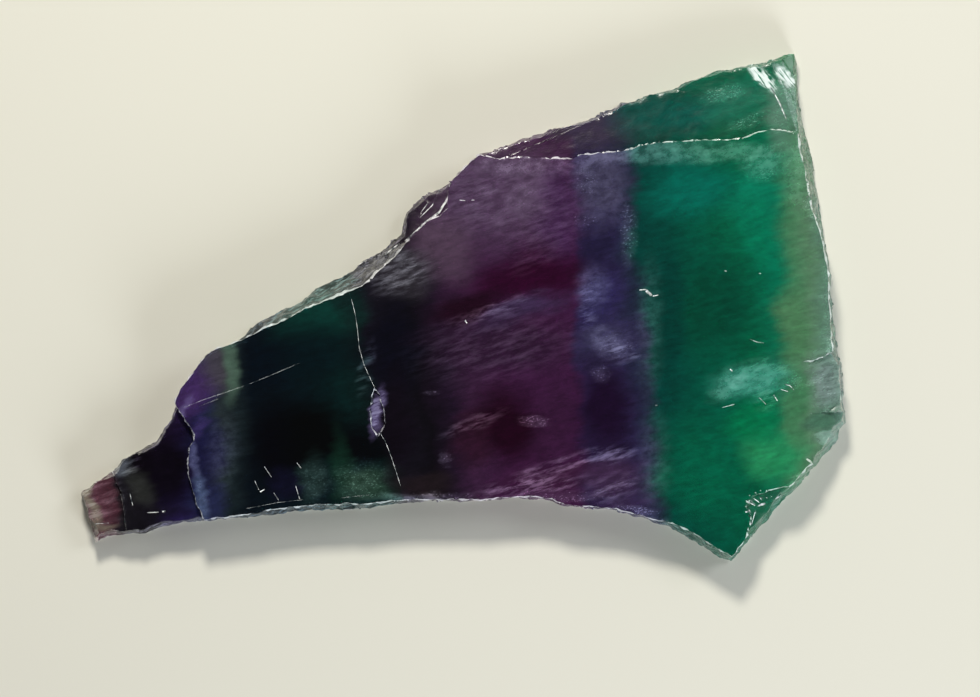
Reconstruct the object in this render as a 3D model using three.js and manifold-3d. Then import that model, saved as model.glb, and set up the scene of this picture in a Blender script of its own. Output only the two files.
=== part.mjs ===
// A slab of rainbow fluorite: one plate of crystal between two saw cuts, broken all round, lying on its back.
// Millimetres, +Z up. +X runs from the narrow tail to the broad end and +Y from the hollow lower side to the
// top side. The origin is under the middle of the slab, on the surface that it rests on.
import * as THREE from "three";
import { mergeVertices } from "three/addons/utils/BufferGeometryUtils.js";
import Module from "manifold-3d";

const THICKNESS = 9; // from saw cut to saw cut
const CLEAR = 4; // how far a cutting solid runs past what it cuts
const COLUMN_STEP = 1.7; // spacing of the columns of facets round the broken side
const FACET_JITTER = 0.42; // how far a facet corner strays across the side
const RIM_JITTER = 0.16; // the same, where the side meets a sawn face
const DISH_DEPTH = 0.8; // how deep the side's hollows go
const DISH_LENGTHS = [8.6, 13.4]; // the two spacings along the side whose product places the hollows

// The side's rows from the back face up: height over thickness, share of the lip, undercut in mm, and how
// much of the hollows shows there.
const ROWS = [
  { height: 0, share: 0, undercut: 0.55, dish: 0.2 },
  { height: 0.13, share: 0, undercut: 0, dish: 0 },
  { height: 0.36, share: 0.16, undercut: 0.05, dish: 0.7 },
  { height: 0.6, share: 0.42, undercut: 0.05, dish: 1 },
  { height: 0.83, share: 0.72, undercut: 0, dish: 0.6 },
  { height: 1, share: 1, undercut: 0, dish: 0.1 },
];

// The side's widest line, clockwise seen from the front. Each point is [x, y, lip], and the lip is how far
// the front face stops short of that line, so a wide lip is a side that slopes.
const BROKEN_SIDE = {
  tailEnd: [
    [-67.2, -42.9, 0.7], [-68, -40, 1.1], [-69.2, -36.5, 0.9], [-70, -34.2, 0.5],
  ],
  tailTop: [
    [-69.6, -33.3, 0.4], [-65.3, -30.4, 0.4], [-63.8, -29.4, 0.6], [-62.3, -27.7, 0.6],
    [-59.2, -25.8, 0.4], [-56.2, -24.1, 0.4],
  ],
  neck: [
    [-54.7, -21.8, 0.4], [-53.4, -20.2, 0.4], [-52.9, -18.4, 0.3], [-51.8, -15, 0.3],
    [-50, -12.6, 0.4], [-48.3, -10.2, 0.4], [-46.7, -8.1, 0.4],
  ],
  glassySlope: [
    [-45.6, -7.5, 0.4], [-41, -5.7, 0.4], [-38.8, -3.7, 1.4], [-36.6, -2.1, 1.9], [-33.4, -0.3, 2.2],
    [-29.7, 1.4, 2], [-27, 3.6, 3], [-23.7, 5.2, 3.4], [-20.2, 6.8, 3.4], [-18.4, 8.7, 3.7],
    [-15.5, 10.1, 2.8], [-13.3, 12.3, 2.8], [-11.5, 13.4, 2.2],
  ],
  shelf: [
    [-11.1, 15.9, 0.6], [-10.4, 17.6, 0.5], [-7.8, 20.1, 0.5], [-6.9, 21, 0.5], [-4.2, 21.8, 0.5],
    [-2.6, 22.9, 0.4],
  ],
  topEdge: [
    [-1.4, 24.2, 0.4], [0.9, 26.5, 0.4], [2.7, 28, 0.4], [6.7, 29.3, 0.4], [12.2, 31.4, 0.4],
    [16.8, 32.9, 0.4], [19.5, 33.5, 0.4], [22.6, 34.4, 0.5], [25, 35.7, 0.4], [27, 36.2, 0.5],
    [28.6, 37.5, 0.5], [31.4, 38, 0.4], [33.7, 39.1, 0.4], [36.8, 39.7, 0.4], [39.6, 40.8, 0.4],
    [43.2, 42.2, 0.4], [46.8, 43.5, 0.4], [52, 44.4, 0.4], [57.6, 45.8, 0.4], [58.7, 46.5, 0.4],
  ],
  topCorner: [
    [60.5, 46.4, 0.4], [61.2, 44.6, 0.5], [61.2, 40.6, 0.6],
  ],
  rightEdge: [
    [61.7, 36.4, 1], [62.3, 33.3, 1.6], [63.3, 29.6, 2.4], [64.2, 25.1, 2.2], [65.1, 19.6, 2.2],
    [66.2, 12.3, 1.1], [67.3, 5.9, 1], [67.5, 1.4, 1.1], [68.2, -5, 1.4], [68.5, -7.7, 1.4],
    [69.3, -10.5, 1], [69.6, -14.1, 0.8], [69.7, -17, 0.9], [70, -19, 1.1], [70, -21.2, 1.2],
  ],
  lowerRight: [
    [68.9, -22.4, 1.5], [68.4, -24.3, 1.8], [67.1, -26.2, 1.8], [65.1, -27.8, 1.5], [64.6, -29.1, 1.5],
    [63.3, -30.5, 1.6], [61.4, -32.7, 1.6], [58.9, -35.1, 1.6], [57.6, -36.5, 1.6], [56, -38.7, 1.6],
    [54.4, -40.1, 1.4], [52.9, -42, 1.3], [51.2, -44, 1.2],
  ],
  lowerPoint: [
    [49.9, -45.7, 1.1], [48.9, -46.5, 1.2], [47.6, -46.2, 1.3],
  ],
  hollowEdge: [
    [43.2, -43.8, 1.6], [40.5, -42.1, 1.6], [37.4, -40.4, 1.3], [34.1, -39.3, 1], [30.8, -38.3, 0.8],
    [27.7, -37.2, 0.7], [25, -37.1, 0.7], [18.2, -36.5, 0.7], [15.9, -35.6, 0.8], [12.2, -35.1, 0.8],
    [8.6, -35.1, 0.7], [3.1, -35.6, 0.7], [-6, -35.7, 0.8], [-11.5, -36, 1], [-17, -37, 1.3],
    [-26.1, -37.2, 1.4], [-33.4, -37.8, 1.3], [-37, -38.4, 1.1],
  ],
  tailBottom: [
    [-41.6, -38.7, 0.8], [-46.1, -39.1, 0.6], [-51.6, -39.6, 0.6], [-55.2, -40.4, 0.8], [-58, -41.3, 0.8],
    [-63.4, -41.8, 0.7],
  ],
};

// Places where a layer split off the front. Each has the line where the front face ends, drawn on until it
// is past the slab, the corners that close it outside, and its floor: the height at a point, and the fall
// in mm for each mm along X and Y.
const SPLIT_LAYERS = {
  // The strip along the top side, one cleavage layer lower than the face.
  upperLedge: {
    line: [
      [1.2, 28.6], [3.8, 27.4], [6.7, 26.7], [10.4, 27.1], [17.7, 26.8], [20, 26.9], [21.4, 27.6],
      [28.6, 28.2], [32.6, 29.3], [35, 29.7], [43.2, 30.2], [50.5, 30.4], [53.6, 31.6], [55.6, 32.2],
      [59.6, 31.7], [66, 31],
    ],
    outside: [[66, 52], [1.2, 52]],
    floor: { at: [30, 28, 8.1], fall: [0, 0.12] },
  },
  // The tail, split away below the thick part along a scalloped lip.
  tailStep: {
    line: [
      [-56, -14.8], [-52.6, -16.8], [-51.6, -18.5], [-49.4, -21.8], [-48.5, -23.2], [-48.7, -24.2],
      [-49.5, -25.4], [-49.8, -27], [-49.6, -30.5], [-49.1, -32.6], [-48, -36], [-46.8, -38.2],
      [-46.2, -42],
    ],
    outside: [[-46.2, -50], [-76, -50], [-76, -14.8]],
    floor: { at: [-49, -28, 7.1], fall: [-0.07, 0] },
  },
  // The tail's tip, a little lower again.
  tailTip: {
    line: [
      [-65.4, -26], [-63.6, -30.6], [-62.2, -33.6], [-61.6, -38], [-60.4, -46],
    ],
    outside: [[-76, -46], [-76, -26]],
    floor: { at: [-62, -36, 5.6], fall: [-0.06, 0.02] },
  },
  // A thin glassy shelf left standing out from the long slope.
  shelfChip: {
    line: [
      [-13, 11], [-9.7, 12.3], [-8.2, 13.9], [-6.4, 15.6], [-4.2, 16.5], [-2.7, 17.8], [-2.9, 19],
      [-2.6, 21.2], [-2.2, 22.8], [-3.4, 26],
    ],
    outside: [[-16, 26], [-16, 11]],
    floor: { at: [-6, 17, 3.9], fall: [-0.14, 0.14] },
  },
  // Two flat cleavage facets that fall away from the face at the bulge of the broad end.
  bulgeFacet: {
    line: [
      [74, -6.2], [68.4, -7.4], [65.8, -8.6], [63.4, -9.6], [61, -10], [61, -19.4], [66, -19.1], [74, -18.9],
    ],
    outside: [],
    floor: { at: [62.2, -14, 9], fall: [0.2, 0.03] },
  },
  lowerBulgeFacet: {
    line: [
      [74, -18.9], [66, -19.1], [61, -19.4], [61, -27], [68, -31],
    ],
    outside: [[74, -31]],
    floor: { at: [62.6, -21, 9], fall: [0.36, -0.04] },
  },
  // The feathered chip low on the broad end.
  featherChip: {
    line: [
      [63, -30.4], [59.5, -32.4], [55.4, -33.1], [51.6, -34.5], [51.1, -36], [52.2, -37.8], [51.7, -39.8],
      [51.2, -41.8], [50.4, -43.4],
    ],
    outside: [[54, -52], [72, -38]],
    floor: { at: [53, -36, 8.2], fall: [0.36, -0.3] },
  },
  // The small scar half way along the crack.
  crackScar: {
    line: [
      [-16.1, -14.6], [-15, -15.8], [-14.2, -19], [-14, -21], [-14.8, -22.6], [-15.5, -23.7],
      [-16.6, -21.8], [-17, -19],
    ],
    outside: [[-16.6, -16.2]],
    floor: { at: [-15.5, -19, 8.35], fall: [0.1, 0.03] },
  },
};

// The stepped cleavage at the top corner: parallel terraces outwards from the line where they start.
const TOP_CORNER = {
  start: [52.2, 45], // the terraces' first line passes here ...
  end: [61.6, 30.2], // ... and here
  terraces: [
    { offset: 0, height: 7.6, fall: 0.42 },
    { offset: 2.7, height: 5.9, fall: 0.3 },
    { offset: 5, height: 4.6, fall: 0.38 },
  ],
};

const wasm = await Module();
wasm.setup();

let seed = 31;
const jitter = (size) => (THREE.MathUtils.seededRandom(seed++) * 2 - 1) * size;

function solidOf(geometry) {
  const bare = geometry.clone();
  bare.deleteAttribute("normal");
  bare.deleteAttribute("uv");
  const merged = mergeVertices(bare, 1e-4);
  return new wasm.Manifold(
    new wasm.Mesh({
      numProp: 3,
      vertProperties: new Float32Array(merged.attributes.position.array),
      triVerts: new Uint32Array(merged.index.array),
    }),
  );
}

function geometryOf(solid) {
  const mesh = solid.getMesh();
  const geometry = new THREE.BufferGeometry();
  geometry.setAttribute("position", new THREE.BufferAttribute(mesh.vertProperties, 3));
  geometry.setIndex(new THREE.BufferAttribute(mesh.triVerts, 1));
  geometry.computeVertexNormals();
  return geometry;
}

// The columns of facets: points along the widest line, each with its lip and its way inwards.
function sideColumns() {
  const corners = Object.values(BROKEN_SIDE).flat();
  const columns = [];
  let run = 0;
  corners.forEach(([x, y, lip], i) => {
    const [nextX, nextY, nextLip] = corners[(i + 1) % corners.length];
    const length = Math.hypot(nextX - x, nextY - y);
    const pieces = Math.max(1, Math.round(length / COLUMN_STEP));
    for (let k = 0; k < pieces; k++) {
      const t = k / pieces;
      const stray = k === 0 ? 0 : jitter(RIM_JITTER);
      columns.push({
        at: new THREE.Vector2(x + (nextX - x) * t, y + (nextY - y) * t),
        lip: lip + (nextLip - lip) * t,
        run: run + length * t,
        stray,
      });
    }
    run += length;
  });
  columns.forEach((column, i) => {
    const before = columns.at(i - 1).at;
    const after = columns[(i + 1) % columns.length].at;
    const along = after.clone().sub(before).normalize();
    column.inwards = new THREE.Vector2(along.y, -along.x); // the columns run clockwise
  });
  return columns;
}

// The hollow at a place along the side, from 0 to 1. It leans a little from row to row.
function dishAt(run, row) {
  const waves = DISH_LENGTHS.map((length) => Math.sin((Math.PI * run) / length + row * 0.45));
  return Math.abs(waves[0] * waves[1]);
}

// The sawn plate with its broken side, before any layer splits off.
function brokenPlate() {
  const columns = sideColumns();
  const last = ROWS.length - 1;
  const positions = [];
  const rowPoints = ROWS.map((row, r) =>
    columns.map((column) => {
      const onFace = r === 0 || r === last;
      const stray = r === 1 ? column.stray : jitter(onFace ? RIM_JITTER : FACET_JITTER);
      const hollow = DISH_DEPTH * row.dish * dishAt(column.run, r);
      const lean = column.lip * row.share + row.undercut + hollow;
      const inset = Math.max(0, lean + (r === 1 ? stray : Math.abs(stray)));
      const point = column.at.clone().addScaledVector(column.inwards, inset);
      const lift = onFace ? 0 : jitter(FACET_JITTER);
      positions.push(point.x, point.y, row.height * THICKNESS + lift);
      return point;
    }),
  );
  const count = columns.length;
  const index = [];
  for (let r = 0; r < last; r++) {
    for (let i = 0; i < count; i++) {
      const a = r * count + i;
      const b = r * count + ((i + 1) % count);
      const flip = (i + r) % 2 === 0;
      if (flip) index.push(a, a + count, b, b, a + count, b + count);
      else index.push(a, b + count, b, a, a + count, b + count);
    }
  }
  const face = (row) => THREE.ShapeUtils.triangulateShape(rowPoints[row], []);
  face(0).forEach(([a, b, c]) => index.push(a, c, b));
  face(last).forEach(([a, b, c]) => index.push(last * count + a, last * count + b, last * count + c));
  const geometry = new THREE.BufferGeometry();
  geometry.setAttribute("position", new THREE.Float32BufferAttribute(positions, 3));
  geometry.setIndex(index);
  return geometry;
}

// What a split layer takes away: an upright prism over its outline, down to a sloping floor.
function layerCutter({ line, outside, floor }) {
  const outline = new THREE.Shape([...line, ...outside].map(([x, y]) => new THREE.Vector2(x, y)));
  const prism = new THREE.ExtrudeGeometry(outline, { depth: THICKNESS + CLEAR, bevelEnabled: false });
  const [x0, y0, z0] = floor.at;
  const [fallX, fallY] = floor.fall;
  const at = prism.attributes.position;
  for (let i = 0; i < at.count; i++) {
    if (at.getZ(i) > THICKNESS) continue;
    at.setZ(i, z0 - (at.getX(i) - x0) * fallX - (at.getY(i) - y0) * fallY);
  }
  return prism;
}

// The terraces at the top corner, each cut from its own line outwards.
function terraceCutters() {
  const start = new THREE.Vector2(...TOP_CORNER.start);
  const end = new THREE.Vector2(...TOP_CORNER.end);
  const along = end.clone().sub(start).normalize();
  const outwards = new THREE.Vector2(-along.y, along.x);
  return TOP_CORNER.terraces.map(({ offset, height, fall }) => {
    const from = start.clone().addScaledVector(along, -CLEAR * 2).addScaledVector(outwards, offset);
    const to = end.clone().addScaledVector(along, CLEAR * 2).addScaledVector(outwards, offset);
    const far = [to, from].map((p) => p.clone().addScaledVector(outwards, CLEAR * 4));
    return layerCutter({
      line: [from, to].map((p) => [p.x, p.y]),
      outside: far.map((p) => [p.x, p.y]),
      floor: { at: [from.x, from.y, height], fall: [outwards.x * fall, outwards.y * fall] },
    });
  });
}

function fluoriteSlab() {
  const cutters = [...Object.values(SPLIT_LAYERS).map(layerCutter), ...terraceCutters()];
  const solid = cutters.reduce((left, cutter) => left.subtract(solidOf(cutter)), solidOf(brokenPlate()));
  const geometry = geometryOf(solid);
  geometry.computeBoundingBox();
  const middle = geometry.boundingBox.getCenter(new THREE.Vector3());
  geometry.translate(-middle.x, -middle.y, 0);
  const crystal = new THREE.MeshStandardMaterial({ color: "#1d4a4c", roughness: 0.25, metalness: 0 });
  const mesh = new THREE.Mesh(geometry, crystal);
  mesh.name = "fluorite_slab";
  return mesh;
}

const slab = new THREE.Group();
slab.add(fluoriteSlab());
export default slab;
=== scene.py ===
import math
import bmesh
import bpy
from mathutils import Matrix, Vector, noise


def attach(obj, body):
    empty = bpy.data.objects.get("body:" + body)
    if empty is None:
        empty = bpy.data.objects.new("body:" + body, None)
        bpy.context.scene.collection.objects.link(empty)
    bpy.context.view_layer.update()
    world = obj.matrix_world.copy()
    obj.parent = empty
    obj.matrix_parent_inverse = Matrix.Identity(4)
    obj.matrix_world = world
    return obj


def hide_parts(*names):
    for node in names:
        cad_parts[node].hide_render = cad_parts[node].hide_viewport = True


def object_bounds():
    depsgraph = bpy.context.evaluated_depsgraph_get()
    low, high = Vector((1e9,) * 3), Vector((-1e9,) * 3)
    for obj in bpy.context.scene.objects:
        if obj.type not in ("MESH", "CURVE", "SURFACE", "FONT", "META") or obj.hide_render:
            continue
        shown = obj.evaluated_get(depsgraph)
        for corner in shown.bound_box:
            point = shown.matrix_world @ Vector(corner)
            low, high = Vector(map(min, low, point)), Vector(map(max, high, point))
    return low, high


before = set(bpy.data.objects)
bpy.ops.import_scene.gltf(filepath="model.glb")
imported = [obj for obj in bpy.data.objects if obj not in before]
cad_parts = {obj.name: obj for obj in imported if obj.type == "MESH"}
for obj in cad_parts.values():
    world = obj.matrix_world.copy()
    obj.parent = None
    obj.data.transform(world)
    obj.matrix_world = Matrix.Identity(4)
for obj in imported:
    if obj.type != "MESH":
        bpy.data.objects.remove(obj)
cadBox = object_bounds()
mm = 0.001
faceHeight = 9 * mm  # the front saw cut, above the floor side
print("frame loaded")


def linearColour(hexText):
    channels = [int(hexText[i:i + 2], 16) / 255 for i in (1, 3, 5)]
    return [c / 12.92 if c <= 0.04045 else ((c + 0.055) / 1.055) ** 2.4 for c in channels] + [1.0]


def addNode(tree, kind, settings=None, links=None):
    node = tree.nodes.new("ShaderNode" + kind)
    for name, value in (settings or {}).items():
        if isinstance(name, int) or name in node.inputs:
            node.inputs[name].default_value = value
        else:
            setattr(node, name, value)
    for name, source in (links or {}).items():
        tree.links.new(source, node.inputs[name])
    return node


def deselectAll():
    if bpy.context.object and bpy.context.object.mode != "OBJECT":
        bpy.ops.object.mode_set(mode="OBJECT")
    bpy.ops.object.select_all(action="DESELECT")


# The slab's shape is the solid's own mesh, with its rims chipped and its broken side splintered.

slabShape = {
    "rimWidth": 0.36 * mm,  # the fine line of chips along each saw cut
    "splinterSize": 0.62 * mm,  # longest edge left on the broken side
    "mostCuts": 8,  # how often an edge of the broken side may be halved to reach that
    "rimReach": (1.3 * mm, 0.9 * mm),  # how far from the front and back saw cuts the rims hold the sides
    # How uneven the chips make that line: the size of the chips, and the line's middle width, swing, least and
    # greatest width as shares of rimWidth.
    "rimChips": {"size": 1.1 * mm, "middle": 0.7, "swing": 1.2, "least": 0.15, "most": 1.3},
    "floorHold": 0.85,  # how firmly the split floors are held still
    "wobbleX": {"size": 1.5 * mm, "depth": 0.5 * mm},
    "wobbleY": {"size": 1.2 * mm, "depth": 0.5 * mm},
    "scallops": {"size": 3.1 * mm, "depth": 0.6 * mm},
    "splinters": {"size": 1.15 * mm, "depth": 0.36 * mm},
    "grain": {"size": 0.45 * mm, "depth": 0.1 * mm},
    "facetAngle": 27,  # degrees between facets that keep a crisp edge
    "markHeight": 0.25,  # how far above the surface a mark's cutter runs, as a share of the mark's width
    "markTaper": 0.55,  # the width of a mark's ends, as a share of its middle
    "wornStep": (-58 * mm, 5 * mm, 7.4 * mm),  # the low step at the tail's tip: its right end, foot and top
}


def isSawn(face):
    heights = [v.co.z for v in face.verts]
    return max(heights) < 0.001 * mm or min(heights) > faceHeight - 0.001 * mm


def isFloor(face):
    return abs(face.normal.z) > 0.9


def floorShare(vertex):
    return sum(isFloor(f) for f in vertex.link_faces) / len(vertex.link_faces)


def selectEdges(test):
    mesh = bmesh.from_edit_mesh(bpy.context.object.data)
    count = 0
    for edge in mesh.edges:
        edge.select = len(edge.link_faces) == 2 and test(edge)
        count += edge.select
    bmesh.update_edit_mesh(bpy.context.object.data)
    return count


def selectFaces(test):
    mesh = bmesh.from_edit_mesh(bpy.context.object.data)
    for face in mesh.faces:
        face.select = test(face)
    bmesh.update_edit_mesh(bpy.context.object.data)


def addDisplace(piece, name, texture, group, depth, direction="NORMAL", middle=0.8):
    displace = piece.modifiers.new(name, "DISPLACE")
    displace.texture = texture
    displace.texture_coords = "LOCAL"
    displace.vertex_group = group
    displace.direction = direction
    displace.strength = depth
    displace.mid_level = middle
    bpy.ops.object.modifier_apply(modifier=name)


def copySolid():
    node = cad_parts["fluorite_slab"]
    deselectAll()
    piece = node.copy()
    piece.data = node.data.copy()
    piece.name = piece.data.name = "crystal_slab"
    bpy.context.collection.objects.link(piece)
    bpy.context.view_layer.objects.active = piece
    piece.select_set(True)
    bpy.ops.object.mode_set(mode="EDIT")
    bpy.ops.mesh.select_all(action="SELECT")
    bpy.ops.mesh.remove_doubles(threshold=0.001 * mm)
    bpy.ops.mesh.dissolve_limited(angle_limit=math.radians(0.5))
    bpy.ops.object.mode_set(mode="OBJECT")
    return piece


def chipRims(piece):
    # Draws out what lies just beside each saw cut by an uneven amount, which leaves a chipped chamfer round it.
    chips = slabShape["rimChips"]
    mesh = bmesh.new()
    mesh.from_mesh(piece.data)
    onSaw = {v for f in mesh.faces if isSawn(f) for v in f.verts}
    moves = []
    for vertex in mesh.verts:
        sides = [f for f in vertex.link_faces if not isFloor(f) and not f.material_index]
        if sides and vertex not in onSaw and any(e.other_vert(vertex) in onSaw for e in vertex.link_edges):
            outward = sum((f.normal for f in sides), Vector())
            outward.z = 0
            if outward.length > 0.3:
                uneven = chips["middle"] + chips["swing"] * noise.noise(vertex.co / chips["size"])
                width = slabShape["rimWidth"] * min(max(uneven, chips["least"]), chips["most"])
                moves.append((vertex, outward.normalized() * width))
    for vertex, move in moves:
        vertex.co += move
    mesh.to_mesh(piece.data)
    mesh.free()


def subdivideSides(piece):
    deselectAll()
    piece.select_set(True)
    bpy.context.view_layer.objects.active = piece
    bpy.ops.object.mode_set(mode="EDIT")
    bpy.ops.mesh.select_mode(type="FACE")
    selectFaces(lambda f: len(f.verts) > 3 and not isSawn(f))
    bpy.ops.mesh.quads_convert_to_tris(quad_method="BEAUTY", ngon_method="BEAUTY")
    bpy.ops.mesh.select_mode(type="EDGE")
    longest = slabShape["splinterSize"]
    for _ in range(slabShape["mostCuts"]):
        if not selectEdges(lambda e: e.calc_length() > longest and not all(isSawn(f) for f in e.link_faces)):
            break
        bpy.ops.mesh.subdivide(number_cuts=1, ngon=False)
    bpy.ops.object.mode_set(mode="OBJECT")


def weighPoints(piece):
    # How much each point may move: deep and freely on the broken side, little on the split floors, only
    # sideways and with its neighbours close to a saw cut, and not at all in the marks. It gives back how broken
    # the crystal is there.
    mesh = bmesh.new()
    mesh.from_mesh(piece.data)
    sideGroup = piece.vertex_groups.new(name="side")
    rimGroup = piece.vertex_groups.new(name="rim")
    wornEnd, wornFoot, wornTop = slabShape["wornStep"]
    broken = []
    for vertex in mesh.verts:
        marked = any(f.material_index for f in vertex.link_faces)
        z = vertex.co.z
        worn = vertex.co.x < wornEnd and wornFoot < z < wornTop
        broken.append(0 if marked or worn else 1 - floorShare(vertex))
        if marked:
            continue
        nearSaw = max(0, 1 - (faceHeight - z) / slabShape["rimReach"][0], 1 - z / slabShape["rimReach"][1])
        rimGroup.add([vertex.index], nearSaw, "REPLACE")
        free = 1 - slabShape["floorHold"] * floorShare(vertex)
        sideGroup.add([vertex.index], (1 - nearSaw) * free, "REPLACE")
    mesh.free()
    return broken


def splinter(piece):
    subdivideSides(piece)
    broken = weighPoints(piece)
    for name in ("scallops", "splinters"):
        texture = bpy.data.textures.new(name, "VORONOI")
        texture.noise_scale = slabShape[name]["size"]
        texture.distance_metric = "DISTANCE" if name == "scallops" else "CHEBYCHEV"
        addDisplace(piece, name, texture, "side", slabShape[name]["depth"])
    grain = bpy.data.textures.new("grain", "CLOUDS")
    grain.noise_scale = slabShape["grain"]["size"]
    addDisplace(piece, "grain", grain, "side", slabShape["grain"]["depth"])
    for axis in ("X", "Y"):
        wobble = bpy.data.textures.new("wobble" + axis, "CLOUDS")
        wobble.noise_scale = slabShape["wobble" + axis]["size"]
        wobble.noise_depth = 3
        addDisplace(piece, "wobble" + axis, wobble, "rim", slabShape["wobble" + axis]["depth"], axis, 0.5)
    piece.vertex_groups.clear()
    chipRims(piece)
    low, high = cadBox
    for vertex in piece.data.vertices:
        vertex.co = [min(max(value, low[i]), high[i]) for i, value in enumerate(vertex.co)]
    return broken


def labelFaces(piece, broken):
    # What the material reads: how broken the crystal is at a corner, and which faces are the chipped rim. The
    # saw cuts themselves are shaded flat.
    bpy.ops.object.shade_smooth_by_angle(angle=math.radians(slabShape["facetAngle"]))
    mesh = bmesh.new()
    mesh.from_mesh(piece.data)
    sawn = [isSawn(f) for f in mesh.faces]
    onSaw = {v.index for f in mesh.faces if sawn[f.index] for v in f.verts}
    corners, rims = [], []
    for face in mesh.faces:
        face.smooth = not sawn[face.index]
        rimmed = not sawn[face.index] and not isFloor(face) and any(v.index in onSaw for v in face.verts)
        rims.append(1.0 if rimmed else 0.0)
        corners += [0.0 if sawn[face.index] else broken[v.index] for v in face.verts]
    mesh.to_mesh(piece.data)
    mesh.free()
    piece.data.attributes.new("broken", "FLOAT", "CORNER").data.foreach_set("value", corners)
    piece.data.attributes.new("rim", "FLOAT", "FACE").data.foreach_set("value", rims)


# Cracks, scratches and nicks that are cut into the crystal, the ridges and many nicks also painted glints: the
# width of the cut and the points that it runs through, in mm.
marks = [
    # the long crack, with the scar half way
    (0.08, [(-21.0, 3.4), (-20.2, 1.4), (-19.5, -1.4), (-19.1, -4.1), (-18.8, -7.4), (-17.9, -10.5),
            (-16.8, -12.9), (-16.0, -14.6)]),
    (0.10, [(-14.9, -23.0), (-14.1, -24.3), (-13.3, -26.3), (-12.6, -28.3), (-11.9, -30.5), (-11.3, -32.4)]),
    # scratches
    (0.05, [(-50.6, -18.2), (-46.8, -16.7), (-43.2, -15.5), (-39.7, -14.3)]),
    (0.045, [(-38.6, -13.9), (-34.0, -12.0), (-29.8, -10.2)]), (0.05, [(-47.6, -17.9), (-44.3, -16.6)]),
    (0.05, [(-39.2, -36.5), (-33.5, -35.4), (-29.0, -34.9)]), (0.05, [(-22.2, -34.6), (-17.0, -34.0)]),
    (0.11, [(52.0, -5.8), (53.2, -6.3), (54.5, -6.5)]),
    # nicks on the tail
    (0.3, [(-63.9, -29.9), (-63.0, -32.0)]), (0.22, [(-62.2, -34.0), (-61.8, -35.6)]),
    (0.19, [(-60.5, -33.8), (-60.0, -36.0)]), (0.22, [(-57.3, -37.3), (-55.3, -37.2)]),
    (0.54, [(-54.6, -37.1), (-54.0, -37.0)]), (0.14, [(-66.9, -39.4), (-64.4, -39.2)]),
    # nicks on the dark part
    (0.16, [(-37.7, -31.5), (-37.0, -33.1)]), (0.42, [(-36.8, -33.5), (-35.9, -33.0)]),
    (0.22, [(-36.0, -28.9), (-34.7, -30.8)]), (0.12, [(-30.1, -28.2), (-29.3, -29.2)]),
    (0.26, [(-30.3, -32.4), (-29.6, -34.8)]), (0.08, [(-34.3, -33.6), (-33.4, -35.0)]),
    (0.54, [(-41.2, -38.0), (-38.4, -37.5)]), (0.48, [(-21.8, -36.9), (-20.2, -36.8)]),
    # nicks on the purple and green parts
    (0.43, [(0.4, -2.4), (0.7, -2.9)]), (0.43, [(47.4, 6.6), (47.8, 6.5)]), (0.31, [(53.6, 6.1), (54.0, 6.1)]),
    (0.5, [(48.4, -11.2), (48.8, -11.6)]), (0.21, [(58.3, -14.0), (59.2, -14.2), (60.0, -15.0)]),
    (0.21, [(57.6, -14.9), (58.9, -15.3)]), (0.27, [(56.3, -15.9), (57.0, -17.0)]),
    (0.21, [(53.7, -16.4), (54.9, -17.6)]), (0.21, [(47.0, -18.2), (49.2, -17.6)]),
    (0.31, [(34.9, -17.8), (35.2, -17.8)]), (0.25, [(-0.6, 19.4), (0.4, 19.3)]),
    (0.19, [(1.5, 19.4), (2.1, 19.4)]),
    (1.2, [(33.2, 3.0), (34.2, 2.1)]), (0.43, [(32.0, 3.1), (33.2, 3.2)]), (0.37, [(34.4, 2.0), (35.4, 2.2)]),
    # ridges in the shelf chip
    (0.5, [(-2.3, 22.4), (-3.1, 19.4), (-4.4, 17.3), (-6.9, 15.4), (-8.8, 13.6), (-10.4, 12.2)]),
    (0.25, [(-4.2, 21.6), (-5.6, 18.6), (-7.8, 16.4)]), (0.22, [(-7.8, 20.4), (-6.5, 18.9), (-7.6, 17.4)]),
    (0.37, [(-11.6, 11.6), (-14.4, 9.4)]), (0.25, [(-15.0, 10.0), (-19.0, 7.8)]),
    # the feather-shaped chip, its white ridges painted glints
    (0.47, [(51.2, -37.2), (54.0, -35.9), (57.8, -34.2)]), (0.29, [(51.3, -35.1), (53.0, -36.0)]),
    (0.29, [(51.9, -34.1), (53.7, -35.4)]), (0.29, [(53.0, -33.6), (54.3, -35.1)]),
    (0.29, [(53.9, -33.2), (55.2, -34.7)]), (0.26, [(55.0, -33.2), (56.0, -34.4)]),
    (0.42, [(51.9, -37.7), (51.5, -40.9)]), (0.31, [(53.0, -37.2), (52.4, -39.4)]),
    # the line down from the top corner, and painted glints along the right rim
    (0.3, [(56.0, 39.8), (57.4, 37.2), (58.6, 34.3)]), (0.22, [(58.7, 34.0), (59.9, 31.4)]),
    (0.42, [(63.2, 18.8), (62.4, 20.0)]), (0.36, [(67.2, -5.6), (68.8, -9.4)]),
]


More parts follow.
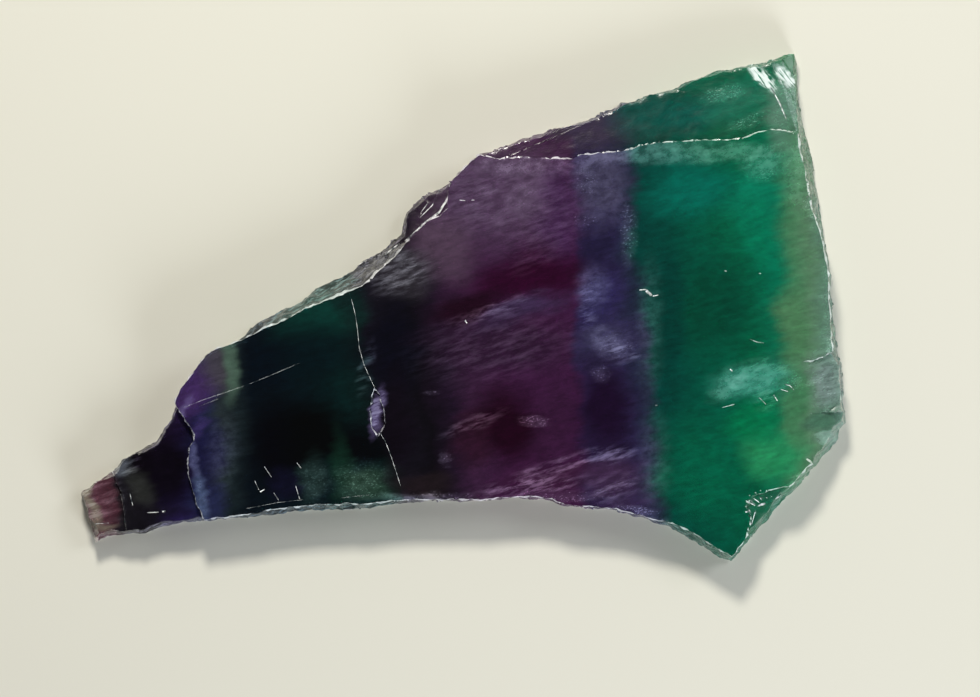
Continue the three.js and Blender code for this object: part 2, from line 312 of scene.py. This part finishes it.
def cutMarks(piece):
    curve = bpy.data.curves.new("mark_cutter", "CURVE")
    curve.dimensions = "3D"
    curve.bevel_depth = mm
    curve.bevel_resolution = 1
    curve.use_fill_caps = True
    down = Vector((0, 0, -1))
    for width, points in marks:
        spline = curve.splines.new("POLY")
        spline.points.add(len(points) - 1)
        for i, (x, y) in enumerate(points):
            _, surface, _, _ = piece.ray_cast(Vector((x * mm, y * mm, 50 * mm)), down)
            tapered = slabShape["markTaper"] if i in (0, len(points) - 1) else 1.0
            height = surface.z + slabShape["markHeight"] * width * tapered * mm
            spline.points[i].co = (x * mm, y * mm, height, 1)
            spline.points[i].radius = width / 2 * tapered
    cutter = bpy.data.objects.new("mark_cutter", curve)
    bpy.context.collection.objects.link(cutter)
    deselectAll()
    cutter.select_set(True)
    bpy.context.view_layer.objects.active = cutter
    bpy.ops.object.convert(target="MESH")
    for mesh in (piece.data, cutter.data):
        while len(mesh.materials) < 2:
            mesh.materials.append(None)
    for face in cutter.data.polygons:
        face.material_index = 1
    deselectAll()
    piece.select_set(True)
    bpy.context.view_layer.objects.active = piece
    cut = piece.modifiers.new("marks", "BOOLEAN")
    cut.operation = "DIFFERENCE"
    cut.object = cutter
    cut.solver = "EXACT"
    cut.use_self = True
    cut.material_mode = "INDEX"
    bpy.ops.object.modifier_apply(modifier="marks")
    bpy.data.objects.remove(cutter)


slab = copySolid()
cutMarks(slab)
print("marks cut:", len(slab.data.polygons), "faces")
labelFaces(slab, splinter(slab))
print("slab splintered:", len(slab.data.polygons), "faces")

# Rainbow fluorite, sawn and lapped in front, broken round the side.

slabLook = {
    # Growth zones across the slab: where each begins, in mm along the slab, and its colour.
    "zones": [
        (-71, "#6d605c"), (-66, "#553440"), (-60.5, "#42242e"), (-59, "#18161c"), (-55, "#0a070e"),
        (-52, "#0d0818"), (-49, "#201640"), (-45.5, "#1a1c3c"), (-42.5, "#20282c"), (-39.4, "#121c20"),
        (-37.6, "#030a12"), (-30, "#020f14"), (-24, "#031a1a"), (-20, "#061616"), (-18.8, "#100e18"),
        (-10, "#09060d"), (-5, "#190d1e"), (0, "#321a34"), (10, "#341535"), (19.5, "#341535"),
        (21, "#251a3a"), (28, "#262040"), (31.6, "#1a2234"), (34, "#013530"), (38, "#003b32"),
        (45, "#004a38"), (52, "#015239"), (56, "#055a42"), (60.4, "#3f6e50"), (63, "#4c6e55"),
        (66, "#577868"), (70, "#6e877d"),
    ],
    # How the zones lean: mm along X, and the lean in mm for each mm along Y.
    "lean": [(-75, -0.09), (-43, -0.09), (-15, 0.25), (10, 0.0), (32, 0.1), (58, 0.02), (75, 0.02)],
    "lightThrough": 2.25,  # how much paler the crystal is than it looks, because light leaves it below
    # What makes the zones wander: folds to a mm, their width by their length, turn in degrees and reach in mm.
    # Fine raggedness along the cleavage comes first, and then the slow folds.
    "drifts": [(0.75, 0.25, 10, 2.2), (0.1, 0.7, 12, 7.2)],
    # The grains that break things up: how many to a mm, their width by their length, turn in degrees, detail,
    # the noise from which and to which they grow, and their least strength.
    "grains": {
        "mist": (0.7, 0.7, 15, 3.0, 0.36, 0.7, 0.25),
        "streak": (1.0, 0.22, 18, 3.0, 0.43, 0.70, 0),
        # the sparks: painted glints and white specks
        "glintSpark": (3.6, 0.55, 12, 2.0, 0.56, 0.78, 0),
        "hatch": (3.0, 0.12, -50, 1.0, 0.34, 0.52, 0),
        "splinter": (1.5, 0.24, 33, 2.0, 0.40, 0.66, 0),  # on the broken side
    },
    "mottling": (0.72, 1.32),  # the darkest and the palest of the body's fine mottling
    "glassy": 0.13,  # roughness of the clear broken side
    "satin": (0.22, 0.42),  # roughness of the sawn faces where they are clear and where they are frosted
    "clearness": (0.62, 0.15),  # how much light passes in where it is clear and where it is frosted
    # How broken crystal scatters light: so much of the pure hue beneath, and so much white.
    "veiled": ((0.34, 0.34, 0.34), (0.17, 0.20, 0.22)),
    "chipped": ((0.17, 0.17, 0.17), (0.21, 0.23, 0.23)),
    # the rim's near-white is partly the frost of tiny chips and partly a painted highlight, the edges catching
    # light
    "rimmed": ((0.12, 0.12, 0.12), (0.80, 0.83, 0.83)),
    "halfSpan": 75,  # mm from the middle that the zones are laid out over
    "patchReach": 1.4,  # a soft patch fades out over this many times its half width
    "frontBegins": (8.85, 8.95),  # mm, the heights between which the front face's own patches fade in
    # the white of the painted glints at the top corner
    "hatchColour": "#e6f2f0",
    "refraction": 1.434,  # of fluorite
    # The marks, frosted and partly painted white as glints: grains to a metre, the noise from which and to
    # which they turn white, their colour where they are whole and where they are white, and their roughness.
    "marksAndGlints": {"grain": 1100.0, "from": 0.36, "to": 0.56, "whole": "#3c484c", "frostedAndGlinting": "#f8fcfc",
                "roughness": 0.42},
}
# Soft clouds of colour inside the crystal: x, y, half width, half height in mm, turn in degrees, colour,
# strength.
clouds = [
    (-61.4, -29.4, 2.6, 2.2, 35, "#5a606a", 0.8), (-54.3, -27.8, 6.6, 5.6, 35, "#050108", 0.95),
    (-57.1, -37.1, 7.5, 2.6, 8, "#141218", 0.6), (-57.6, -32.6, 2.6, 3.0, 35, "#2c2e2c", 0.7),
    (-49.5, -14.7, 3.8, 7.5, -30, "#3a2652", 0.9),
    (-53.0, -22.7, 4.2, 3.2, 35, "#140a20", 0.7), (-68.4, -34.0, 1.2, 5.0, 8, "#7c7668", 0.8),
    (-66.6, -38.8, 3.4, 1.0, 8, "#6a6458", 0.7), (-46.3, -36.0, 3.4, 5.5, 8, "#1e2242", 0.9),
    (-45.8, -27.0, 3.0, 6.0, 0, "#121030", 0.8), (-45.0, -10.0, 3.6, 4.4, 0, "#3e3c42", 0.8),
    (-41.9, -9.8, 1.9, 6.4, 0, "#445a4e", 0.9), (-42.8, -24.6, 2.0, 4.6, 8, "#141c24", 0.6),
    (-35.5, -10.5, 5.0, 6.0, 0, "#010812", 0.8), (-26.1, -1.7, 7.5, 5.0, 20, "#06302a", 0.9),
    (-26.1, -8.7, 8.0, 5.0, 8, "#010e14", 0.7), (-33.6, -24.5, 6.5, 7.5, -12, "#000004", 0.95),
    (-18.0, -24.0, 7.4, 4.4, 0, "#000003", 0.95), (-27.5, -22.6, 6.6, 5.0, 0, "#000102", 1.0),
    (-32.3, -31.4, 3.2, 3.8, 0, "#0a091e", 0.8), (-27.5, -30.3, 2.4, 5.2, 0, "#142624", 0.8),
    (-22.4, -29.3, 2.4, 7.2, 0, "#0b261c", 0.8), (-18.0, -32.2, 4.8, 3.4, 0, "#1a3024", 0.8),
    (-13.0, -31.1, 2.4, 4.4, 0, "#101416", 0.8), (-21.0, 0.4, 2.6, 5.0, 0, "#0a1c1c", 0.7),
    (-10.8, 5.9, 6.5, 4.2, 0, "#302d34", 0.8), (-12.9, -7.8, 6.0, 9.0, 0, "#040410", 0.9),
    (-11.5, -20.5, 3.0, 9.0, 0, "#0a040e", 0.8), (6.7, 19.6, 14.0, 9.0, 0, "#46344c", 0.9),
    (17.0, 17.0, 3.8, 10.0, 0, "#361a40", 0.7), (-3.3, 11.4, 6.0, 6.0, 35, "#4c3b4d", 0.8),
    (12.2, 6.0, 12.0, 4.4, 8, "#26011d", 0.95), (0.9, 0.5, 7.5, 3.0, 20, "#180211", 0.95),
    (9.5, -0.8, 9.5, 2.1, 20, "#352846", 0.8), (6.7, -6.8, 14.0, 5.5, 0, "#261329", 0.8),
    (8.4, -21.8, 8.4, 6.6, 0, "#18000f", 0.95), (1.4, -25.0, 4.0, 5.0, 0, "#260c1c", 0.7),
    (17.0, -20.5, 3.6, 7.0, 0, "#2c122c", 0.6), (16.9, -31.1, 11.0, 3.2, 8, "#331530", 0.7),
    (-6.9, -32.5, 6.0, 2.4, 0, "#1c1418", 0.8), (24.8, 1.4, 4.4, 6.0, 0, "#262148", 0.9),
    (26.1, -6.8, 5.6, 5.0, 0, "#2c2846", 0.9), (25.0, 22.3, 4.8, 7.0, 0, "#302c44", 0.9),
    (25.0, 10.8, 4.4, 5.0, 0, "#191530", 0.8), (25.5, -18.3, 5.4, 9.0, 0, "#14031c", 0.9),
    (27.2, -31.4, 6.0, 5.0, 0, "#3a2642", 0.8), (23.1, 32.4, 9.0, 3.0, 8, "#332a3c", 0.8),
    (38.6, 34.9, 10.0, 4.2, 8, "#004a42", 0.9), (49.6, 37.6, 5.5, 5.0, 8, "#1c6654", 0.6),
    (57.7, 35.6, 3.0, 6.0, 0, "#55786a", 0.8), (41.4, 21.4, 9.0, 5.5, 0, "#005d50", 0.8),
    (53.2, 21.4, 4.5, 7.0, 0, "#036c54", 0.8), (54.4, 10.5, 4.0, 9.0, 0, "#00664c", 0.8),
    (45.9, -0.5, 8.0, 9.0, 0, "#003c2c", 0.9), (37.4, -2.3, 2.8, 12.0, 0, "#00322c", 0.8),
    (43.2, -29.6, 8.0, 11.0, 0, "#00593f", 0.7), (56.0, -26.9, 5.6, 5.4, 0, "#237c52", 0.85),
    (53.2, -20.5, 5.4, 3.4, 0, "#006a44", 0.7), (60.5, -20.5, 2.2, 7.0, 0, "#3a6c4c", 0.8),
    (60.0, -3.2, 2.6, 6.0, 0, "#446c4c", 0.8), (65.8, -13.6, 3.6, 5.4, 0, "#5c6e6a", 0.9),
    (65.4, -21.4, 3.0, 2.0, 0, "#3c604e", 0.9),
]
# The same where the slow folds would push them off their place: the dark floor beside the lip, the scar half
# way down the crack, and the foot of the bulge.
placedClouds = [
    (-53.4, -30.5, 3.8, 6.5, 8, "#06020c", 0.95),
    (-15.5, -19.0, 1.2, 4.4, -12, "#4e4468", 1.0),
    (66.2, -23.6, 2.4, 1.0, 0, "#7a968c", 0.8), (64.8, -20.6, 2.6, 1.6, 0, "#3c604e", 0.8),
]
# The same on the front face alone, where the split layers leave an edge: the lavender lip above the tail, the
# pale border beside the bulge and the top corner, and the blue-green scar.
frontClouds = [
    (-51.2, -19.2, 0.9, 3.4, -30, "#564a78", 0.6), (-48.9, -27.0, 0.9, 3.6, 8, "#35365c", 0.7),
    (-47.4, -35.0, 1.2, 5.0, 8, "#2e3a58", 0.8), (-47.6, -21.6, 2.2, 1.2, 50, "#3c3064", 0.6),
    (62.8, 27.0, 1.2, 5.4, 20, "#8aa6a0", 0.85), (64.6, 18.4, 1.2, 2.8, 0, "#7c988c", 0.7),
    (57.4, 40.6, 1.3, 3.2, 20, "#3f5f50", 0.7),
    (52.3, -13.5, 7.4, 3.2, 8, "#1e7a68", 0.6),
]
# Pale veils, frosting, and sparks and a hatch of painted glints over that, by the grain that breaks them up:
# x, y, half width, half height, turn and strength. The mist lies on the front face alone.
veils = {
    "mist": [
        (36.8, 28.2, 22.0, 2.2, 0, 0.55), (12.2, 25.6, 12.0, 2.2, 0, 0.45), (23.4, 3.6, 3.0, 4.0, 0, 0.4),
        (52.7, -12.9, 7.0, 3.2, 8, 0.5), (47.8, -14.6, 3.8, 1.8, 35, 0.35), (60.4, 24.0, 2.4, 6.0, 0, 0.35),
        (26.0, -6.3, 4.4, 2.6, -30, 0.4), (-50.8, -18.6, 0.8, 3.2, -30, 0.2), (-48.6, -28.0, 0.9, 5.0, 8, 0.3),
        (-47.0, -35.6, 1.2, 5.0, 8, 0.3), (54.1, 26.0, 4.0, 2.8, 0, 0.5), (-43.6, -26.5, 2.8, 6.0, 0, 0.2),
        (25.0, 21.0, 5.0, 7.0, 0, 0.2), (42.6, -43.2, 9.0, 0.9, -30, 0.8),
        (34.6, -28.0, 3.0, 9.0, 0, 0.2), (33.8, -4.0, 2.4, 12.0, 0, 0.2), (57.6, -36.0, 10.0, 1.4, 50, 0.7),
        (11.0, 19.6, 3.6, 3.6, 35, 0.3), (-8.9, -34.6, 8.0, 1.0, 0, 0.5),
    ],
    "streak": [
        (52.9, -12.6, 6.6, 3.0, 20, 0.6), (55.0, -16.8, 2.6, 1.6, 35, 0.5),
        (6.7, 20.5, 14.0, 7.0, 0, 0.25), (-11.8, 6.5, 5.8, 3.8, 8, 0.6), (5.7, -0.4, 8.0, 1.4, 20, 0.4),
        (6.0, -7.0, 14.0, 6.0, 8, 0.16), (12.0, -32.6, 10.0, 1.6, 8, 0.6), (16.0, -29.4, 9.0, 1.6, 20, 0.5),
        (26.0, -27.0, 6.0, 1.4, 8, 0.6), (27.0, -33.0, 5.0, 2.4, 20, 0.5), (2.0, -21.0, 6.0, 1.2, 20, 0.4),
        (66.0, -13.4, 3.4, 5.0, 0, 0.4), (22.6, 1.6, 1.8, 5.4, 0, 0.6), (28.0, -8.0, 4.0, 1.8, -12, 0.7),
        (-17.6, -11.0, 1.2, 4.5, -12, 0.3), (-65.4, -34.6, 3.6, 5.0, 8, 0.4), (-68.2, -36.0, 1.6, 6.0, 8, 0.5),
        (-15.5, -18.4, 0.9, 3.4, -12, 1.4), (-60.6, -29.0, 2.2, 1.6, 35, 0.5), (15.0, 12.0, 8.0, 4.0, 35, 0.15),
    ],
    # painted glints and white specks, brightest along the right rim
    "glintSpark": [
        (22.4, 22.7, 2.2, 3.2, 0, 0.6), (27.4, -7.0, 3.4, 2.4, 0, 0.7), (-5.7, -15.4, 1.4, 0.7, 0, 0.6),
        (-3.1, -27.4, 1.3, 1.3, 0, 0.6), (-6.9, -34.4, 9.0, 0.9, 0, 0.9), (47.3, 39.0, 4.0, 1.6, 8, 0.8),
        (51.4, 33.4, 4.0, 1.2, 20, 0.8), (30.0, 13.3, 1.6, 5.6, 0, 0.7), (-18.8, -31.6, 5.0, 3.6, 0, 0.5),
        (-27.0, -31.6, 3.0, 3.8, 0, 0.3), (63.4, 18.1, 1.6, 2.2, 0, 1.2), (67.4, -7.9, 1.2, 2.6, 20, 1.4),
        (13.0, -20.8, 2.6, 0.9, 0, 0.8), (38.0, -40.6, 5.0, 1.4, -30, 0.7), (18.0, -34.4, 9.0, 0.9, 0, 0.8),
        (31.6, -36.6, 3.6, 0.9, -12, 1.2), (24.8, -12.0, 1.8, 1.6, 0, 0.6), (55.4, 24.4, 1.6, 1.2, 35, 0.8),
        (60.2, -13.6, 1.4, 1.4, 0, 0.6), (22.0, 16.0, 3.0, 2.0, 0, 0.4),
    ],
    # painted glints on the rippled facets of the top corner
    "hatch": [
        (54.4, 41.8, 3.2, 1.1, -45, 1.5), (58.4, 42.0, 2.4, 1.1, -45, 1.2),
    ],
}


def softPatch(tree, frames, x, y, wide, tall, turn, strength):
    # A mask with the strength in the middle of an ellipse, which fades out past its border. Patches that lean
    # alike share turned coordinates.
    if turn not in frames:
        frames[turn] = addNode(tree, "Mapping", {"Rotation": (0, 0, math.radians(-turn))},
                               {"Vector": frames[0]}).outputs[0]
    wide, tall = wide * slabLook["patchReach"], tall * slabLook["patchReach"]
    cos, sin = math.cos(math.radians(turn)), math.sin(math.radians(turn))
    local = addNode(tree, "VectorMath", {
        "operation": "MULTIPLY_ADD", 1: (1 / wide, 1 / tall, 0),
        2: (-(x * cos + y * sin) / wide, -(y * cos - x * sin) / tall, 0)}, {0: frames[turn]})
    away = addNode(tree, "VectorMath", {"operation": "LENGTH"}, {0: local.outputs[0]}).outputs["Value"]
    return addNode(tree, "MapRange", {"interpolation_type": "SMOOTHSTEP", "clamp": False, "From Min": 1.0,
                                      "From Max": 0.25, "To Max": strength}, {"Value": away}).outputs[0]


def makeRamp(tree, source, stops, colours):
    ramp = addNode(tree, "ValToRGB", links={0: source})
    elements = ramp.color_ramp.elements
    while len(elements) < len(stops):
        elements.new(0.5)
    for element, stop, colour in zip(elements, stops, colours):
        element.position = (stop + slabLook["halfSpan"]) / (2 * slabLook["halfSpan"])
        element.color = colour
    return ramp.outputs[0]


def calculate(tree, operation, first, second, third=None):
    # One Math node; numbers are set on it and sockets are linked.
    node = addNode(tree, "Math", {"operation": operation})
    for i, value in enumerate((first, second, third)):
        if isinstance(value, (int, float)):
            node.inputs[i].default_value = value
        elif value:
            tree.links.new(value, node.inputs[i])
    return node.outputs[0]


def spread(tree, value, low, high, start=0.0, end=1.0, clamp=True):
    settings = {"From Min": start, "From Max": end, "To Min": low, "To Max": high, "clamp": clamp}
    return addNode(tree, "MapRange", settings, {"Value": value}).outputs[0]


def blend(tree, mask, under, over):
    # Lays a colour, written in hex or linked, over another by the mask.
    node = addNode(tree, "Mix", {"data_type": "RGBA"}, {0: mask})
    for i, colour in ((6, under), (7, over)):
        if isinstance(colour, str):
            node.inputs[i].default_value = linearColour(colour)
        else:
            tree.links.new(colour, node.inputs[i])
    return node.outputs[2]


def makeMarksAndGlints():
    # White fluorite where a crack or knock has broken it up, so the marks read as frosted lines; on ridges and
    # nicks the white is also a painted glint.
    look = slabLook["marksAndGlints"]
    material = bpy.data.materials.new("frosted_marks_painted_glints")
    material.use_nodes = True
    tree = material.node_tree
    shader = tree.nodes["Principled BSDF"]
    place = addNode(tree, "TexCoord").outputs["Object"]
    grain = addNode(tree, "TexNoise", {"Scale": look["grain"], "Detail": 3.0}, {"Vector": place})
    frostedAndGlinting = spread(tree, grain.outputs["Fac"], 0, 1, look["from"], look["to"])
    tint = blend(tree, frostedAndGlinting, look["whole"], look["frostedAndGlinting"])
    tree.links.new(tint, shader.inputs["Base Color"])
    shader.inputs["Roughness"].default_value = look["roughness"]
    shader.inputs["IOR"].default_value = slabLook["refraction"]
    return material


def turnPlace(tree, inMm, size, narrow, turn):
    # Coordinates for a noise with so many folds to a mm, drawn out along its own turned X.
    return addNode(tree, "Mapping", {
        "vector_type": "TEXTURE", "Rotation": (0, 0, math.radians(turn)),
        "Scale": (1 / size / narrow, 1 / size, 1 / size)}, {"Vector": inMm}).outputs[0]


def makeDrifts(tree, inMm):
    # The zones and clouds are ragged along the cleavage, and all but the placed ones follow slow folds as well.
    drifted, ragged = inMm, None
    for size, narrow, turn, reach in slabLook["drifts"]:
        drift = addNode(tree, "TexNoise", {"Scale": 1.0, "Detail": 1.0, "Roughness": 0.6},
                        {"Vector": turnPlace(tree, inMm, size, narrow, turn)})
        centred = addNode(tree, "VectorMath", {"operation": "SUBTRACT", 1: (0.5, 0.5, 0.5)},
                          {0: drift.outputs["Color"]})
        drifted = addNode(tree, "VectorMath", {"operation": "MULTIPLY_ADD", 1: (reach, reach, 0)},
                          {0: centred.outputs[0], 2: drifted}).outputs[0]
        ragged = ragged or drifted
    return drifted, ragged


def makeGrains(tree, inMm):
    grains = {}
    for name, (size, narrow, turn, detail, low, high, least) in slabLook["grains"].items():
        grain = addNode(tree, "TexNoise", {"Scale": 1.0, "Detail": detail, "Roughness": 0.68},
                        {"Vector": turnPlace(tree, inMm, size, narrow, turn)}).outputs["Fac"]
        grains[name] = spread(tree, grain, least, 1, low, high)
        if name == "glintSpark":
            grains["fine"] = grain
    grains["glintSpark"] = calculate(tree, "MULTIPLY_ADD", grains["mist"], 0.3, grains["glintSpark"])
    return grains


def makeZones(tree, drifted):
    # The growth zones across the slab, each with its own lean.
    apart = addNode(tree, "SeparateXYZ", links={0: drifted})
    half = slabLook["halfSpan"]
    leans = makeRamp(tree, spread(tree, apart.outputs["X"], 0, 1, -half, half, False),
                     [x for x, _ in slabLook["lean"]], [[lean + 0.5] * 3 + [1] for _, lean in slabLook["lean"]])
    lean = calculate(tree, "SUBTRACT", addNode(tree, "SeparateColor", links={0: leans}).outputs[0], 0.5)
    zoneAt = calculate(tree, "MULTIPLY_ADD", lean, apart.outputs["Y"], apart.outputs["X"])
    return makeRamp(tree, spread(tree, zoneAt, 0, 1, -half, half, False), [x for x, _ in slabLook["zones"]],
                    [linearColour(colour) for _, colour in slabLook["zones"]])


def makeVeils(tree, nearFrames, grains, onFront):
    # How strongly each kind of veil covers the body, and all of them together.
    masks, veiled = {}, 0.0
    for kind, patches in veils.items():
        total = 0.0
        for patch in patches:
            total = calculate(tree, "ADD", softPatch(tree, nearFrames, *patch), total)
        if kind == "mist":
            total = calculate(tree, "MULTIPLY", total, onFront)
        masks[kind] = calculate(tree, "MULTIPLY", calculate(tree, "MINIMUM", total, 1.0), grains[kind])
        veiled = calculate(tree, "MAXIMUM", veiled, masks[kind])
    return masks, veiled


def makeFluorite():
    # Sawn and lapped faces give a satin sheen; the broken side is glassy and paler, because it scatters light.
    material = bpy.data.materials.new("rainbow_fluorite")
    material.use_nodes = True
    tree = material.node_tree
    tree.nodes.clear()
    place = addNode(tree, "TexCoord").outputs["Object"]
    inMm = addNode(tree, "Mapping", {"Scale": (1 / mm, 1 / mm, 1 / mm)}, {"Vector": place}).outputs[0]
    drifted, ragged = makeDrifts(tree, inMm)
    grains = makeGrains(tree, inMm)
    height = addNode(tree, "SeparateXYZ", links={0: inMm}).outputs["Z"]
    onFront = spread(tree, height, 0, 1, *slabLook["frontBegins"])

    body = makeZones(tree, drifted)
    frames, nearFrames = {0: drifted}, {0: ragged}
    for level, patches, within in ((None, clouds, frames), (None, placedClouds, nearFrames),
                                   (onFront, frontClouds, nearFrames)):
        for x, y, wide, tall, turn, colour, strength in patches:
            mask = softPatch(tree, within, x, y, wide, tall, turn, strength)
            body = blend(tree, calculate(tree, "MULTIPLY", mask, level) if level else mask, body, colour)

    # Light and dark mottling through the body, which the light then passes.
    through = slabLook["lightThrough"]
    mottled = calculate(tree, "MULTIPLY_ADD", grains["fine"], 1.2,
                        calculate(tree, "MULTIPLY_ADD", grains["streak"], 0.7, grains["mist"]))
    darkest, palest = slabLook["mottling"]
    mottling = spread(tree, mottled, darkest * through, palest * through, 0.6, 2.0)
    body = addNode(tree, "VectorMath", {"operation": "SCALE"}, {0: body, "Scale": mottling}).outputs[0]

    # Veils scatter white light and the body's own hue; the sparks among them are painted glints, and the hatch
    # at the top corner is painted white as glints.
    hue = addNode(tree, "VectorMath", {"operation": "NORMALIZE"}, {0: body}).outputs[0]
    scattered = {}
    for name in ("veiled", "chipped", "rimmed"):
        share, white = slabLook[name]
        scattered[name] = addNode(tree, "VectorMath", {"operation": "MULTIPLY_ADD", 1: share, 2: white},
                                  {0: hue}).outputs[0]
    masks, veiled = makeVeils(tree, nearFrames, grains, onFront)
    body = blend(tree, veiled, body, scattered["veiled"])
    body = blend(tree, masks["hatch"], body, slabLook["hatchColour"])

    # The broken side, and the line of tiny chips along the saw cuts, painted near-white: partly their frost and
    # partly a painted highlight where the edges catch light.
    broken = addNode(tree, "Attribute", {"attribute_name": "broken"}).outputs["Fac"]
    rim = addNode(tree, "Attribute", {"attribute_name": "rim"}).outputs["Fac"]
    chipped = calculate(tree, "MULTIPLY", spread(tree, grains["splinter"], 0.05, 0.9), broken)
    body = blend(tree, chipped, body, scattered["chipped"])
    rimmed = calculate(tree, "MULTIPLY", spread(tree, grains["mist"], 0.5, 1.0), rim)
    body = blend(tree, rimmed, body, scattered["rimmed"])

    frosted = calculate(tree, "MAXIMUM", calculate(tree, "MAXIMUM", veiled, rimmed),
                        calculate(tree, "MULTIPLY", chipped, 0.8))
    satin = spread(tree, frosted, *slabLook["satin"])
    gloss = addNode(tree, "Mix", {3: slabLook["glassy"]}, {0: broken, 2: satin}).outputs[0]

    # Lapping leaves a fine tooth on the saw cuts, about a fifth of a millimetre across.
    tooth = addNode(tree, "TexNoise", {"Scale": 5.0, "Detail": 0.0}, {"Vector": inMm})
    bump = addNode(tree, "Bump", {"Strength": 0.3, "Distance": 0.05 * mm}, {"Height": tooth.outputs["Fac"]})

    clear = spread(tree, frosted, *slabLook["clearness"])
    shader = addNode(tree, "BsdfPrincipled", {"IOR": slabLook["refraction"]}, {
        "Base Color": body, "Roughness": gloss, "Transmission Weight": clear, "Normal": bump.outputs[0]})
    addNode(tree, "OutputMaterial", links={"Surface": shader.outputs[0]})
    return material


slab.data.materials[0] = makeFluorite()
slab.data.materials[1] = makeMarksAndGlints()
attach(slab, "root")
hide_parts("fluorite_slab")
print("fluorite applied")

# A plain studio: a pale board, a key from above, two soft fills and grey walls.

studio = {
    "floorColour": "#d3d2c6",
    # Each light: its place in metres, width, watts and colour. All of them face the slab.
    "lights": {
        "key": ((-0.06, 0.40, 0.47), 0.11, 3.4, "#fffaf0"),
        "cornerFill": ((0.42, 0.20, 0.45), 0.25, 1.0, "#f4f8ff"),
        "lowFill": ((0.24, -0.46, 0.22), 0.25, 2.2, "#f4f8ff"),
    },
    "unmirrored": "lowFill",  # the polished faces don't throw this light back, which would turn them white
    # The grey that surrounds the slab, from the horizon up: the height's share and the brightness.
    "walls": [(0.0, (0.62, 0.62, 0.61, 1)), (0.85, (0.04, 0.04, 0.04, 1))],
    "cameraHeight": 1.2,  # metres above the floor
    "frameWidth": 177.6 * mm,  # what the frame's width spans at the front face
    "aim": (4.9 * mm, -7.5 * mm),
}


def addAreaLight(name, place, size, watts, colour):
    bpy.ops.object.light_add(type="AREA", location=place)
    light = bpy.context.object
    light.name = name
    light.rotation_euler = (-Vector(place)).to_track_quat("-Z", "Y").to_euler()
    light.data.shape = "DISK"
    light.data.size = size
    light.data.energy = watts
    light.data.color = linearColour(colour)[:3]
    light.visible_glossy = name != studio["unmirrored"]


def makeStudio():
    deselectAll()
    bpy.ops.mesh.primitive_plane_add(size=4, location=(0, 0, -0.1 * mm))
    floor = bpy.context.object
    floor.name = "studio_floor"
    paint = bpy.data.materials.new("matt_pale_board")  # flat matt board, so it only carries the shadow
    paint.use_nodes = True
    board = paint.node_tree.nodes["Principled BSDF"]
    board.inputs["Base Color"].default_value = linearColour(studio["floorColour"])
    board.inputs["Roughness"].default_value = 0.9
    floor.data.materials.append(paint)
    for name, settings in studio["lights"].items():
        addAreaLight(name, *settings)

    world = bpy.data.worlds.new("studio_world")
    bpy.context.scene.world = world
    world.use_nodes = True
    tree = world.node_tree
    tree.nodes.clear()
    up = addNode(tree, "SeparateXYZ", links={0: addNode(tree, "TexCoord").outputs["Generated"]})
    walls = addNode(tree, "ValToRGB", links={0: up.outputs["Z"]})
    for element, (stop, grey) in zip(walls.color_ramp.elements, studio["walls"]):
        element.position, element.color = stop, grey
    sky = addNode(tree, "Background", {"Strength": 1.0}, {"Color": walls.outputs[0]})
    addNode(tree, "OutputWorld", links={"Surface": sky.outputs[0]})

    camera = bpy.data.cameras.new("camera")
    camera.sensor_width = 36
    camera.lens = 36 * (studio["cameraHeight"] - faceHeight) / studio["frameWidth"]
    eye = bpy.data.objects.new("camera", camera)
    eye.location = (*studio["aim"], studio["cameraHeight"])
    bpy.context.collection.objects.link(eye)
    bpy.context.scene.camera = eye
    bpy.context.scene.view_settings.view_transform = "Standard"


makeStudio()
print("studio lit")
